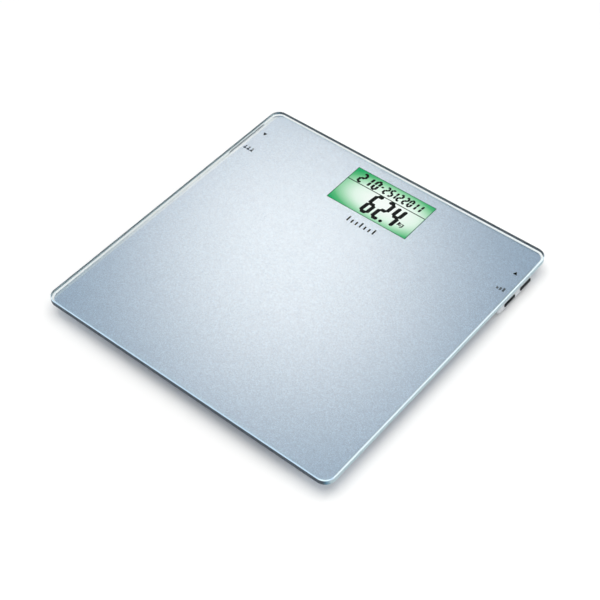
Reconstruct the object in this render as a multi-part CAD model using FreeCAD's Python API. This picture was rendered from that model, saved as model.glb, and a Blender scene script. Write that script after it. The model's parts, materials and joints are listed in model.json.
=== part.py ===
# Square glass personal scale: tempered platform, bonded rear electronics housing with display,
# side buttons, coin cells and two load cells, plus two front foot housings joined by cable ducts.
# Millimetres. Origin on the floor under the middle of the platform, +Z up, +Y towards the display.
import FreeCAD, Part
import math
import os

os.makedirs("parts", exist_ok=True)
V = FreeCAD.Vector

# ---- driving dimensions ------------------------------------------------------------------
PLATE = 300.0               # side of the square platform
CORNER_R = 10.0
GLASS_T = 6.0
GLASS_TOP = 20.0
TOP_ARRIS = 0.8             # bevel ground along the upper edge
LOW_ARRIS = 0.7
FILM_T = 0.2
FILM_INSET = 2.8            # bare glass left round the printed film
TAPE_T = 0.2

WINDOW_W, WINDOW_D = 86.0, 47.0     # clear window in the printed film
WINDOW_Y = 113.4

WALL = 1.6                  # plastic wall thickness
FLOOR_T = 1.4
SHELL_BOTTOM = 3.6          # underside of the housings above the floor
SHELL_BEVEL = 1.2           # bevel round the underside of each housing
SPLIT_Z = 7.4               # parting line between upper and lower mouldings
ROOF_T = 1.0
BEAM_X, BEAM_Y0, BEAM_Y1, BEAM_R = 138.0, 74.0, 146.0, 8.0
POD_X, POD_Y0, POD_Y1, POD_R = 148.8, 78.0, 129.0, 3.5

FOOT_X, REAR_FOOT_Y, FRONT_FOOT_Y = 113.0, 109.0, -113.0
POCKET = 46.0               # side of a front foot housing
POCKET_R = 9.0
CELL = 34.0                 # side of a stamped load cell
CELL_T = 1.6
CELL_R = 3.0                # corner radius of the cell, its seat and its retainer
TONGUE_HALF_W = 7.0         # the cell's tongue, and the slots that free it on three sides
CELL_SLOT = 2.4
CELL_SLOT_BACK, CELL_SLOT_FRONT = 11.4, 8.0
RETAINER_T = 1.2
RIB_T = 2.0
RIB_NOTCH = 3.0             # half width of the gap in the rib for the gauge lead
GAUGE_HALF, GAUGE_Y0, GAUGE_Y1, GAUGE_T = 3.0, 5.4, 10.4, 0.9
WELL_R = 17.0               # opening round each foot
COLLAR = 1.6                # width of the raised collar round that opening
COLLAR_Z = 3.1
FOOT_R = 15.8
CUP_Z0, CUP_Z1 = 1.1, 3.4
HUB_R = 5.0
WEB_REACH, WEB_HALF_T, WEB_TOP = 12.0, 0.6, 5.0
STEM_R, STEM_HEAD_R = 2.9, 3.6
PAD_R = 14.4
PAD_T = 1.9
PAD_GROOVES = (6.0, 9.4)    # inner radii of the grip rings in the rubber pad
GROOVE_W, GROOVE_DEPTH = 1.0, 0.5

BUTTON_L, BUTTON_Z0, BUTTON_Z1 = 14.4, 7.6, 10.4
BUTTON_YS = {"upper": 116.8, "lower": 93.4}
BUTTON_GAP = 0.2
BUTTON_FLANGE = 1.4
SIDE_BOARD_X = 139.2
SIDE_BOARD_T = 1.2
SIDE_BOARD_Y0, SIDE_BOARD_Y1, SIDE_BOARD_Z = 80.2, 126.8, 6.0
HOLDER_YS = (82.0, 125.0)   # slotted posts that hold a side board
HOLDER_T = 1.4
SWITCH_HALF, SWITCH_T = 3.0, 3.5
PLUNGER_R, PLUNGER_GAP = 1.2, 0.15

BOARD_X, BOARD_Y0, BOARD_Y1 = 61.0, 80.0, 142.5
BOARD_Z, BOARD_T = 6.4, 1.6
BOARD_HOLES = [(sx * 57.5, y) for sx in (-1, 1) for y in (97.0, 138.5)]
LCD_W, LCD_D, LCD_T = 92.0, 52.4, 2.4
FRAME_WALL = 2.0
FRAME_LEDGE = 2.0           # lip inside the frame that the panel rests on
GASKET_T = 0.4
SHEET_T = 0.3               # reflector behind the light guide
SOCKET_X0, SOCKET_X1, SOCKET_T = 50.5, 55.0, 2.6
SOCKET_YS = (86.0, 132.0)

BATTERY_X, COIN_YS, COIN_R, COIN_T = 79.0, (96.0, 122.0), 10.0, 3.2
BAY_HALF, BAY_Y0, BAY_Y1 = 11.0, 84.0, 134.0
BAY_BLOCK, BAY_ROOF, BAY_TOP = 15.5, 12.5, 10.4
COVER_HALF, TONGUE_HALF = 12.0, 13.5
COVER_LIP_Z, COVER_GROOVE_Z = 4.3, 5.2
SLIDE_GAP = 0.2
CONTACT_T = 0.25
NEGATIVE_Y, POSITIVE_Y = (110.0, 112.0), (107.0, 108.5)     # contact tails to the main board

LABEL_W, LABEL_Y0, LABEL_D = 66.0, 104.0, 30.0      # shallow blank recess on the underside
LABEL_DEPTH = 0.25

UNIT_X, UNIT_Y = -45.0, 90.0
UNIT_TRAVEL = 1.5
KNOB_HALF_W, KNOB_HALF_D = 1.4, 1.0

SCREW_R, SCREW_HEAD_R, SCREW_HOLE_R, BOSS_R = 1.2, 2.3, 1.3, 2.8
SCREW_HEAD_T, SCREW_TIP_Z = 1.2, 10.4
BEAM_SCREWS = [(sx * x, y) for sx in (-1, 1)
               for x, y in ((133.0, 141.0), (98.5, 139.5), (98.5, 78.0), (134.0, 79.6), (22.0, 77.2))]
POCKET_SCREW = 19.0
CABLE_R = 0.7
CABLE_Z = 11.6
CABLE_REACH = 7.0           # longest stretch of a run that an arc may take
FRONT_LANE, REAR_LANE, HARNESS_LANE = 84.0, 88.0, 132.0     # y of the leads' runs along the housing
LEAD_DROP_X = 66.0          # where a lead starts down to its socket
DUCT_HALF, DUCT_WALL, DUCT_DROP = 4.0, 1.0, 2.6

# ---- levels worked out from them ---------------------------------------------------------
GLASS_BOTTOM = GLASS_TOP - GLASS_T
FILM_BOTTOM = GLASS_BOTTOM - FILM_T
TAPE_BOTTOM = FILM_BOTTOM - TAPE_T
ROOF_Z = TAPE_BOTTOM - ROOF_T
CELL_TOP = SPLIT_Z + CELL_T
RETAINER_TOP = CELL_TOP + RETAINER_T
BOARD_TOP = BOARD_Z + BOARD_T
LCD_TOP = FILM_BOTTOM - GASKET_T
LCD_BOTTOM = LCD_TOP - LCD_T
LEDGE_HALF = LCD_W / 2 - FRAME_LEDGE
SOCKET_Z = BOARD_TOP + SOCKET_T / 2
COIN_Z = COVER_GROOVE_Z + 0.2
HALF = PLATE / 2
SWITCH_X0 = SIDE_BOARD_X + SIDE_BOARD_T
SWITCH_X1 = SWITCH_X0 + SWITCH_T
CAP_BACK = SWITCH_X1 + 1.8
BUTTON_Z = (BUTTON_Z0 + BUTTON_Z1) / 2
FEET = {"front_left": (-FOOT_X, FRONT_FOOT_Y, 1), "front_right": (FOOT_X, FRONT_FOOT_Y, 1),
        "rear_left": (-FOOT_X, REAR_FOOT_Y, -1), "rear_right": (FOOT_X, REAR_FOOT_Y, -1)}
BUTTONS = {"up": (1, "upper"), "set": (1, "lower"), "down": (-1, "upper"), "user": (-1, "lower")}


# ---- building blocks ---------------------------------------------------------------------
def box(x0, x1, y0, y1, z0, z1):
    return Part.makeBox(abs(x1 - x0), abs(y1 - y0), z1 - z0, V(min(x0, x1), min(y0, y1), z0))


def slab(x0, x1, y0, y1, z0, z1, radius):
    """Box with rounded vertical edges."""
    solid = box(x0, x1, y0, y1, z0, z1)
    upright = [e for e in solid.Edges if abs(e.tangentAt(e.FirstParameter).z) > 0.9]
    return solid.makeFillet(radius, upright)


def square(cx, cy, side, z0, z1, radius):
    h = side / 2
    return slab(cx - h, cx + h, cy - h, cy + h, z0, z1, radius)


def disc(cx, cy, z0, z1, radius):
    return Part.makeCylinder(radius, z1 - z0, V(cx, cy, z0))


def rim(solid, z, size):
    """Bevel every edge that lies at height z on the outside of a plain slab."""
    flat = [e for e in solid.Edges if abs(e.BoundBox.ZMin - z) < 1e-6 and abs(e.BoundBox.ZMax - z) < 1e-6]
    return solid.makeChamfer(size, flat)


def fuse(first, *others):
    return first.fuse(list(others)).removeSplitter() if others else first


def cut(first, *others):
    return first.cut(list(others))


def save(name, shape):
    solids = shape.Solids
    if not shape.isValid() or not solids:
        raise RuntimeError(name + " is not a valid solid")
    shape = solids[0] if len(solids) == 1 else Part.makeCompound(solids)
    shape.exportStep("parts/" + name + ".step")
    print("%-24s solids %d  volume %.1f mm3" % (name, len(solids), shape.Volume))


def cable(name, points, radius=CABLE_R):
    """Round lead along straight runs joined by tangent arcs."""
    pts = [V(*p) for p in points]
    edges, start, length, radii = [], pts[0], 0.0, []
    for before, corner, after in zip(pts, pts[1:], pts[2:]):
        run_in, run_out = (before - corner), (after - corner)
        turn = math.pi - run_in.getAngle(run_out)
        reach = min(CABLE_REACH, 0.45 * min(run_in.Length, run_out.Length))
        a = corner + run_in.normalize() * reach
        b = corner + run_out.normalize() * reach
        middle = (a + b) * 0.5
        bend = reach / math.tan(turn / 2)
        to_corner = corner - middle
        sagitta = bend * (1 - math.cos(turn / 2))
        tip = middle + to_corner.normalize() * sagitta
        edges += [Part.LineSegment(start, a).toShape(), Part.Arc(a, tip, b).toShape()]
        length += (a - start).Length + bend * turn
        radii.append(round(bend, 1))
        start = b
    edges.append(Part.LineSegment(start, pts[-1]).toShape())
    length += (pts[-1] - start).Length
    ring = Part.Wire(Part.makeCircle(radius, pts[0], pts[1] - pts[0]))
    solid = Part.Wire(edges).makePipeShell([ring], True, False)
    expected = math.pi * radius ** 2 * length
    print(name, "bend radii", radii, "length %.1f, volume ratio %.4f" % (length, solid.Volume / expected))
    return solid


# ---- platform ----------------------------------------------------------------------------
def glass_platform():
    plate = square(0, 0, PLATE, GLASS_BOTTOM, GLASS_TOP, CORNER_R)
    return rim(rim(plate, GLASS_TOP, TOP_ARRIS), GLASS_BOTTOM, LOW_ARRIS)


def window(z0, z1, grow=0.0):
    w, d = WINDOW_W / 2 + grow, WINDOW_D / 2 + grow
    return box(-w, w, WINDOW_Y - d, WINDOW_Y + d, z0, z1)


def print_film():
    sheet = square(0, 0, PLATE - 2 * FILM_INSET, FILM_BOTTOM, GLASS_BOTTOM, CORNER_R - FILM_INSET)
    return cut(sheet, window(FILM_BOTTOM - 1, GLASS_BOTTOM + 1))


def beam_outline(inset, z0, z1):
    main = slab(inset - BEAM_X, BEAM_X - inset, BEAM_Y0 + inset, BEAM_Y1 - inset, z0, z1, BEAM_R - inset)
    pods = slab(inset - POD_X, POD_X - inset, POD_Y0 + inset, POD_Y1 - inset, z0, z1, POD_R - inset)
    return fuse(main, pods)


def display_opening(z0, z1):
    w, d = LCD_W / 2 + FRAME_WALL + SLIDE_GAP, LCD_D / 2 + FRAME_WALL + SLIDE_GAP
    return box(-w, w, WINDOW_Y - d, WINDOW_Y + d, z0, z1)


def mounting_tape():
    beam = cut(beam_outline(1.0, TAPE_BOTTOM, FILM_BOTTOM), display_opening(0, GLASS_TOP))
    pockets = [square(x, y, POCKET - 2, TAPE_BOTTOM, FILM_BOTTOM, POCKET_R - 1)
               for x, y, _ in FEET.values() if y < 0]
    return Part.makeCompound([beam] + pockets)


# ---- load cell seats, shared by the beam and the front foot housings ----------------------
def seat_block(x, y):
    """Square wall under the load cell's frame, with a raised collar on the underside."""
    collar = rim(disc(x, y, COLLAR_Z, SHELL_BOTTOM + 0.1, WELL_R + COLLAR), COLLAR_Z, 0.25)
    return fuse(square(x, y, CELL + 3, SHELL_BOTTOM, SPLIT_Z, CELL_R), collar)


def seat_hole(x, y):
    return disc(x, y, 0, SPLIT_Z + 1, WELL_R)


def clamp_rib(x, y, side):
    """Square rib that presses the retainer and load cell down, notched for the gauge lead."""
    outer = CELL - 0.4
    ring = cut(square(x, y, outer, RETAINER_TOP, ROOF_Z + 0.1, CELL_R),
               square(x, y, outer - 2 * RIB_T, 0, GLASS_TOP, CELL_R - 1))
    return cut(ring, box(x - RIB_NOTCH, x + RIB_NOTCH, y, y + side * CELL, 0, GLASS_TOP))


def screw_hole(x, y):
    return disc(x, y, 0, GLASS_BOTTOM - 3.0, SCREW_HOLE_R)


def screw_recess(x, y):
    return disc(x, y, 0, SHELL_BOTTOM + 2.0, SCREW_HEAD_R + 0.3)


# ---- rear housing ------------------------------------------------------------------------
def button_window(side, y):
    gap = BUTTON_L / 2 + BUTTON_GAP
    x0, x1 = side * (POD_X - WALL - 1), side * (POD_X + 1)
    return box(x0, x1, y - gap, y + gap, SPLIT_Z - 1, BUTTON_Z1 + BUTTON_GAP)


def lead_notch(x, y0, y1):
    return box(x - 2, x + 2, y0, y1, CABLE_Z - 1.4, ROOF_Z)


def upper_shell():
    shell = cut(beam_outline(0, SPLIT_Z, TAPE_BOTTOM), beam_outline(WALL, 0, ROOF_Z))
    bosses = [disc(x, y, SPLIT_Z, ROOF_Z + 0.1, BOSS_R) for x, y in BEAM_SCREWS]
    ribs = [clamp_rib(x, y, side) for x, y, side in FEET.values() if y > 0]
    shell = fuse(shell, *bosses, *ribs)
    holes = [screw_hole(x, y) for x, y in BEAM_SCREWS]
    holes += [button_window(side, BUTTON_YS[row]) for side, row in BUTTONS.values()]
    holes += [lead_notch(sx * FOOT_X, BEAM_Y0 - 1, BEAM_Y0 + WALL + 1) for sx in (-1, 1)]
    return cut(shell, display_opening(ROOF_Z - 1, GLASS_TOP), *holes)


def cover_channel():
    """Stepped channel for the sliding battery cover, open at the housing's front wall."""
    y0, y1 = BEAM_Y0 - 1, BAY_Y1 + 1
    low = COVER_HALF + SLIDE_GAP
    high = TONGUE_HALF + SLIDE_GAP
    return fuse(box(BATTERY_X - low, BATTERY_X + low, y0, y1, 0, COVER_LIP_Z + 0.1),
                box(BATTERY_X - high, BATTERY_X + high, y0, y1, COVER_LIP_Z, COVER_GROOVE_Z))


def lower_shell():
    outer = rim(slab(-BEAM_X, BEAM_X, BEAM_Y0, BEAM_Y1, SHELL_BOTTOM, SPLIT_Z, BEAM_R), SHELL_BOTTOM, SHELL_BEVEL)
    pods = rim(slab(-POD_X, POD_X, POD_Y0, POD_Y1, SHELL_BOTTOM, SPLIT_Z, POD_R), SHELL_BOTTOM, SHELL_BEVEL)
    shell = cut(fuse(outer, pods), beam_outline(WALL, SHELL_BOTTOM + FLOOR_T, GLASS_TOP))
    rear = [(x, y) for x, y, _ in FEET.values() if y > 0]
    bosses = [disc(x, y, SHELL_BOTTOM, SPLIT_Z, BOSS_R) for x, y in BEAM_SCREWS]
    posts = [disc(x, y, SHELL_BOTTOM, BOARD_Z, 2.2) for x, y in BOARD_HOLES]
    bay = box(BATTERY_X - BAY_BLOCK, BATTERY_X + BAY_BLOCK, BEAM_Y0 + WALL, BAY_Y1 + 3, SHELL_BOTTOM, SPLIT_Z)
    roof = box(BATTERY_X - BAY_ROOF, BATTERY_X + BAY_ROOF, BAY_Y0 - 1.5, BAY_Y1 + 1.5, SPLIT_Z - 0.1, BAY_TOP)
    holders = [box(sx * (SIDE_BOARD_X - HOLDER_T), sx * (SIDE_BOARD_X + SIDE_BOARD_T + HOLDER_T), y - 2, y + 2,
                   SHELL_BOTTOM, SPLIT_Z) for sx in (-1, 1) for y in HOLDER_YS]
    shell = fuse(shell, *[seat_block(x, y) for x, y in rear], *bosses, *posts, bay, roof, *holders)
    cavity = box(BATTERY_X - BAY_HALF, BATTERY_X + BAY_HALF, BAY_Y0, BAY_Y1, SHELL_BOTTOM, BAY_TOP - 1.0)
    wall_x0, wall_x1 = BATTERY_X - BAY_BLOCK - 1, BATTERY_X - BAY_HALF + 1
    tail_slots = [box(wall_x0, wall_x1, POSITIVE_Y[0] - 0.5, POSITIVE_Y[1] + 0.5, 6.0, 6.55),
                  box(wall_x0, wall_x1, NEGATIVE_Y[0] - 0.5, NEGATIVE_Y[1] + 0.5, 9.0, BAY_TOP - 1.0)]
    boards = [box(sx * (SIDE_BOARD_X - 0.05), sx * (SIDE_BOARD_X + SIDE_BOARD_T + 0.05),
                  SIDE_BOARD_Y0 - 0.2, SIDE_BOARD_Y1 + 0.2, SIDE_BOARD_Z, GLASS_TOP) for sx in (-1, 1)]
    knob_w, knob_d = KNOB_HALF_W + UNIT_TRAVEL + 0.5, KNOB_HALF_D + 0.3
    unit = [box(UNIT_X - knob_w, UNIT_X + knob_w, UNIT_Y - knob_d, UNIT_Y + knob_d, 0, SPLIT_Z),
            slab(UNIT_X - 8, UNIT_X + 8, UNIT_Y - 4, UNIT_Y + 4, 0, SHELL_BOTTOM + 0.5, 2.0),
            slab(-LABEL_W / 2, LABEL_W / 2, LABEL_Y0, LABEL_Y0 + LABEL_D, 0, SHELL_BOTTOM + LABEL_DEPTH, 2.0)]
    pilots = [disc(x, y, SHELL_BOTTOM + 0.5, SPLIT_Z, 0.9) for x, y in BOARD_HOLES]
    holes = [screw_hole(x, y) for x, y in BEAM_SCREWS] + [screw_recess(x, y) for x, y in BEAM_SCREWS]
    return cut(shell, cavity, cover_channel(), *[seat_hole(x, y) for x, y in rear],
               *tail_slots, *boards, *unit, *pilots, *holes)


# ---- front foot housings and cable ducts ---------------------------------------------------
def pocket_corners(x, y):
    return [(x + sx * POCKET_SCREW, y + sy * POCKET_SCREW) for sx, sy in ((-1, -1), (1, 1), (-1, 1), (1, -1))]


def foot_bracket(x, y, side):
    shell = cut(square(x, y, POCKET, SPLIT_Z, TAPE_BOTTOM, POCKET_R),
                square(x, y, POCKET - 2 * WALL, 0, ROOF_Z, POCKET_R - WALL))
    bosses = [disc(cx, cy, SPLIT_Z, ROOF_Z + 0.1, BOSS_R) for cx, cy in pocket_corners(x, y)]
    shell = fuse(shell, clamp_rib(x, y, side), *bosses)
    return cut(shell, lead_notch(x, y + POCKET / 2 - WALL - 1, y + POCKET / 2 + 1),
               *[screw_hole(cx, cy) for cx, cy in pocket_corners(x, y)])


def foot_cover(x, y):
    outer = rim(square(x, y, POCKET, SHELL_BOTTOM, SPLIT_Z, POCKET_R), SHELL_BOTTOM, SHELL_BEVEL)
    shell = cut(outer, square(x, y, POCKET - 2 * WALL, SHELL_BOTTOM + FLOOR_T, GLASS_TOP, POCKET_R - WALL))
    bosses = [disc(cx, cy, SHELL_BOTTOM, SPLIT_Z, BOSS_R) for cx, cy in pocket_corners(x, y)]
    shell = fuse(shell, seat_block(x, y), *bosses)
    return cut(shell, seat_hole(x, y), *[screw_hole(cx, cy) for cx, cy in pocket_corners(x, y)],
               *[screw_recess(cx, cy) for cx, cy in pocket_corners(x, y)])


def cable_duct(x):
    y0, y1 = FRONT_FOOT_Y + POCKET / 2 + 0.1, BEAM_Y0 - 0.1
    bottom, inside = CABLE_Z - DUCT_DROP, DUCT_HALF - DUCT_WALL
    outer = rim(box(x - DUCT_HALF, x + DUCT_HALF, y0, y1, bottom, FILM_BOTTOM), bottom, 0.8)
    return cut(outer, box(x - inside, x + inside, y0 - 1, y1 + 1, bottom + DUCT_WALL, GLASS_TOP))


# ---- load cells and feet -------------------------------------------------------------------
def load_cell(x, y, side):
    """Stamped plate: outer frame, and a tongue cut free on three sides that carries the foot."""
    plate = square(x, y, CELL, SPLIT_Z, CELL_TOP, CELL_R)
    inner, outer = TONGUE_HALF_W, TONGUE_HALF_W + CELL_SLOT
    back, front = y - side * CELL_SLOT_BACK, y + side * CELL_SLOT_FRONT
    slots = [box(x + sx * inner, x + sx * outer, back, front, 0, GLASS_TOP) for sx in (-1, 1)]
    slots.append(box(x - outer, x + outer, back, back + side * CELL_SLOT, 0, GLASS_TOP))
    return cut(plate, *slots, disc(x, y, 0, GLASS_TOP, STEM_R + 0.1))


def retainer(x, y):
    return cut(square(x, y, CELL - 0.4, CELL_TOP, RETAINER_TOP, CELL_R),
               square(x, y, CELL - 6, 0, GLASS_TOP, CELL_R - 1))


def strain_gauge(x, y, side):
    top = CELL_TOP + GAUGE_T
    block = box(x - GAUGE_HALF, x + GAUGE_HALF, y + side * GAUGE_Y0, y + side * GAUGE_Y1, CELL_TOP, top)
    return rim(block, top, 0.3)


def foot_cup(x, y):
    flange = rim(disc(x, y, CUP_Z0, CUP_Z1, FOOT_R), CUP_Z1, 0.6)
    hub = disc(x, y, CUP_Z1, SPLIT_Z, HUB_R)
    stem = disc(x, y, SPLIT_Z, CELL_TOP + 0.1, STEM_R)
    head = rim(disc(x, y, CELL_TOP + 0.1, CELL_TOP + 1.1, STEM_HEAD_R), CELL_TOP + 1.1, 0.4)
    webs = [box(x - dx, x + dx, y - dy, y + dy, CUP_Z1 - 0.1, WEB_TOP)
            for dx, dy in ((WEB_REACH, WEB_HALF_T), (WEB_HALF_T, WEB_REACH))]
    return cut(fuse(flange, hub, stem, head, *webs), disc(x, y, 0, PAD_T, PAD_R + 0.1))


def foot_pad(x, y):
    pad = rim(disc(x, y, 0, PAD_T, PAD_R), 0, 0.5)
    rings = [cut(disc(x, y, -1, GROOVE_DEPTH, r + GROOVE_W), disc(x, y, -1, GROOVE_DEPTH, r)) for r in PAD_GROOVES]
    return cut(pad, *rings)


# ---- display and boards --------------------------------------------------------------------
def lcd_rect(w, d, z0, z1):
    return box(-w / 2, w / 2, WINDOW_Y - d / 2, WINDOW_Y + d / 2, z0, z1)


def lcd_frame():
    outer = lcd_rect(LCD_W + 2 * FRAME_WALL, LCD_D + 2 * FRAME_WALL, BOARD_TOP, LCD_TOP)
    ledge = lcd_rect(LCD_W - 2 * FRAME_LEDGE, LCD_D - 2 * FRAME_LEDGE, 0, GLASS_TOP)
    return cut(outer, lcd_rect(LCD_W + 0.2, LCD_D + 0.2, LCD_BOTTOM, GLASS_TOP), ledge)


def backlight_strip():
    """Row of light-emitting diodes on a narrow carrier beside the light guide."""
    x0 = -LEDGE_HALF
    carrier = box(x0 + 0.2, x0 + 1.2, WINDOW_Y - 20, WINDOW_Y + 20, BOARD_TOP + 0.3, LCD_BOTTOM - 0.2)
    lamps = [box(x0 + 1.2, x0 + 1.9, WINDOW_Y + k * 12 - 1.6, WINDOW_Y + k * 12 + 1.6,
                 BOARD_TOP + 0.8, BOARD_TOP + 2.0) for k in (-1, 0, 1)]
    return fuse(carrier, *lamps)


def behind_panel(z0, z1):
    """Layer under the panel, between the diodes and the frame's far wall, clear of the zebra strip."""
    return box(2.0 - LEDGE_HALF, LEDGE_HALF - 0.3, WINDOW_Y - LCD_D / 2 + 4.6, WINDOW_Y + LCD_D / 2 - 2.3, z0, z1)


def zebra_strip():
    y0 = WINDOW_Y - LCD_D / 2 + 2.2
    return box(-40, 40, y0, y0 + 2.0, BOARD_TOP, LCD_BOTTOM)


def main_board():
    board = box(-BOARD_X, BOARD_X, BOARD_Y0, BOARD_Y1, BOARD_Z, BOARD_TOP)
    corners = [box(sx * 30, sx * 14, BOARD_Y0 - 1, BOARD_Y0 + 1.5, BOARD_Z - 1, BOARD_TOP + 1) for sx in (-1, 1)]
    return cut(board, *corners, *[disc(x, y, 0, GLASS_TOP, 1.0) for x, y in BOARD_HOLES])


def board_components():
    """Lead sockets, controller drop, crystal and capacitors on the free ends of the board."""
    sockets = [box(sx * SOCKET_X0, sx * SOCKET_X1, y - 4, y + 4, BOARD_TOP, BOARD_TOP + SOCKET_T)
               for sx in (-1, 1) for y in SOCKET_YS]
    drop = Part.makeSphere(9.0, V(54.6, 118.0, BOARD_TOP - 7.6)).common(box(49, 60.6, 112, 124, BOARD_TOP, 12))
    crystal = Part.makeCylinder(1.0, 6.0, V(-54.0, 104.0, BOARD_TOP + 1.0), V(0, 1, 0))
    chips = [box(sx * 52, sx * 54, y, y + 1.2, BOARD_TOP, BOARD_TOP + 0.8)
             for sx in (-1, 1) for y in (93.0, 96.0, 99.0, 114.0 if sx < 0 else 102.0)]
    return Part.makeCompound(sockets + [drop, crystal] + chips)


def side_board(side):
    return box(side * SIDE_BOARD_X, side * SWITCH_X0, SIDE_BOARD_Y0, SIDE_BOARD_Y1, SIDE_BOARD_Z, ROOF_Z - 0.2)


def along_x(side, y, x0, x1, radius):
    return Part.makeCylinder(radius, x1 - x0, V(side * x0, y, BUTTON_Z), V(side, 0, 0))


def switches(side):
    bodies = []
    for y in BUTTON_YS.values():
        body = box(side * SWITCH_X0, side * SWITCH_X1, y - SWITCH_HALF, y + SWITCH_HALF,
                   BUTTON_Z - 2.1, BUTTON_Z + 2.1)
        bodies.append(cut(body, along_x(side, y, SWITCH_X0 + 1.4, SWITCH_X1 + 1, PLUNGER_R + PLUNGER_GAP)))
    return Part.makeCompound(bodies)


def plunger(side, y):
    return along_x(side, y, SWITCH_X0 + 2.0, CAP_BACK, PLUNGER_R)


def button(side, y):
    """Rubber key cap, with a flange behind the wall that stops it from falling out."""
    half = BUTTON_L / 2
    cap = box(side * CAP_BACK, side * HALF, y - half, y + half, BUTTON_Z0, BUTTON_Z1)
    front = [e for e in cap.Edges if abs(abs(e.CenterOfMass.x) - HALF) < 1e-6]
    cap = cap.makeFillet(0.5, front)
    wing = half + BUTTON_FLANGE
    flange = box(side * CAP_BACK, side * (POD_X - WALL - BUTTON_GAP), y - wing, y + wing, BUTTON_Z0, BUTTON_Z1)
    return fuse(cap, flange)


# ---- power and unit switch -------------------------------------------------------------------
def coin_cells():
    cells = []
    for y in COIN_YS:
        can = rim(disc(BATTERY_X, y, COIN_Z, COIN_Z + COIN_T - 0.3, COIN_R), COIN_Z, 0.3)
        cells.append(fuse(can, disc(BATTERY_X, y, COIN_Z + COIN_T - 0.3, COIN_Z + COIN_T, COIN_R - 1.2)))
    return Part.makeCompound(cells)


def negative_contact():
    top = BAY_TOP - 1.0
    strip = box(BATTERY_X - 3, BATTERY_X + 3, BAY_Y0 + 3, BAY_Y1 - 3, top - CONTACT_T, top)
    tail = box(BOARD_X - 5, BATTERY_X, *NEGATIVE_Y, top - CONTACT_T, top)
    leg = box(BOARD_X - 5, BOARD_X - 4.7, *NEGATIVE_Y, BOARD_TOP, top)
    dimples = [disc(BATTERY_X, y, COIN_Z + COIN_T, top - 0.2, 1.8) for y in COIN_YS]
    return fuse(strip, tail, leg, *dimples)


def positive_contact():
    x = BATTERY_X + COIN_R
    plate = box(x, x + 0.4, BAY_Y0 + 1, BAY_Y1 - 1, COIN_Z, COIN_Z + COIN_T)
    tail = box(BOARD_X - 4, x + 0.2, *POSITIVE_Y, BOARD_Z - CONTACT_T, BOARD_Z)
    return fuse(plate, tail)


def battery_cover():
    y0, y1 = BEAM_Y0, BAY_Y1 + 0.8
    low = box(BATTERY_X - COVER_HALF, BATTERY_X + COVER_HALF, y0, y1, SHELL_BOTTOM, COVER_LIP_Z + 0.2)
    high = box(BATTERY_X - TONGUE_HALF, BATTERY_X + TONGUE_HALF, y0, y1, COVER_LIP_Z + 0.15, COVER_GROOVE_Z - 0.15)
    grips = [box(BATTERY_X - 6, BATTERY_X + 6, BEAM_Y0 + 5 + 2 * k, BEAM_Y0 + 6 + 2 * k, 0, SHELL_BOTTOM + 0.4)
             for k in range(5)]
    return cut(fuse(low, high), *grips)


def unit_switch():
    body = box(UNIT_X - 5, UNIT_X + 5, UNIT_Y - 2.2, UNIT_Y + 2.2, SHELL_BOTTOM + FLOOR_T, BOARD_Z)
    return cut(body, box(UNIT_X - 3.2, UNIT_X + 3.2, UNIT_Y - 1.2, UNIT_Y + 1.2, 0, BOARD_Z - 0.4))


def unit_knob():
    knob = box(UNIT_X - KNOB_HALF_W, UNIT_X + KNOB_HALF_W, UNIT_Y - KNOB_HALF_D, UNIT_Y + KNOB_HALF_D,
               SHELL_BOTTOM + 0.2, BOARD_Z - 0.6)
    return cut(knob, box(UNIT_X - 0.3, UNIT_X + 0.3, UNIT_Y - 2, UNIT_Y + 2, 0, SHELL_BOTTOM + 0.5))


# ---- fasteners -------------------------------------------------------------------------------
def screw(x, y, head_z, tip_z, up, head_r, shank_r, cross):
    """Pan-head self-tapping screw with a cross recess; up is +1 when driven upwards."""
    head = Part.makeCylinder(head_r, SCREW_HEAD_T, V(x, y, head_z), V(0, 0, up))
    shank = disc(x, y, min(head_z, tip_z), max(head_z, tip_z), shank_r)
    low, high = sorted((head_z - up * 1.0, head_z + up * 0.7))
    slots = [box(x - cross, x + cross, y - 0.25, y + 0.25, low, high),
             box(x - 0.25, x + 0.25, y - cross, y + cross, low, high)]
    return cut(fuse(head, shank), *slots)


def housing_screws():
    places = BEAM_SCREWS + [p for x, y, _ in FEET.values() if y < 0 for p in pocket_corners(x, y)]
    return Part.makeCompound([screw(x, y, SHELL_BOTTOM + 0.8, SCREW_TIP_Z, 1, SCREW_HEAD_R, SCREW_R, 1.4)
                              for x, y in places])


def board_screws():
    return Part.makeCompound([screw(x, y, BOARD_TOP + SCREW_HEAD_T, SHELL_BOTTOM + 0.6, -1, 1.7, 0.85, 1.0)
                              for x, y in BOARD_HOLES])


# ---- leads -----------------------------------------------------------------------------------
def lead_end(side, lane):
    """Last points of a lead: down from the housing's lane and into its socket on the main board."""
    return [(side * LEAD_DROP_X, lane, CABLE_Z), (side * (SOCKET_X1 + 5), lane, SOCKET_Z),
            (side * SOCKET_X1, lane, SOCKET_Z)]


def sensor_points(x, y, side):
    """Gauge to board: over the retainer, then across the housing above the battery bay."""
    sx = math.copysign(1, x)
    lane, turn_x = (FRONT_LANE, x) if y < 0 else (REAR_LANE, x - sx * 6)
    gauge_end = y + side * (GAUGE_Y1 - 1)
    start = [(x, gauge_end, CELL_TOP + GAUGE_T + CABLE_R), (x, gauge_end + side * 3, CELL_TOP + 1.4 + CABLE_R),
             (x, gauge_end + side * 6.2, CABLE_Z)]
    return start + [(turn_x, lane, CABLE_Z)] + lead_end(sx, lane)


def button_points(side):
    y = HOLDER_YS[1] - 0.5
    return [(side * SIDE_BOARD_X, y, CABLE_Z), (side * (SIDE_BOARD_X - 4.4), y, CABLE_Z),
            (side * 129.0, HARNESS_LANE, CABLE_Z)] + lead_end(side, HARNESS_LANE)


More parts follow.
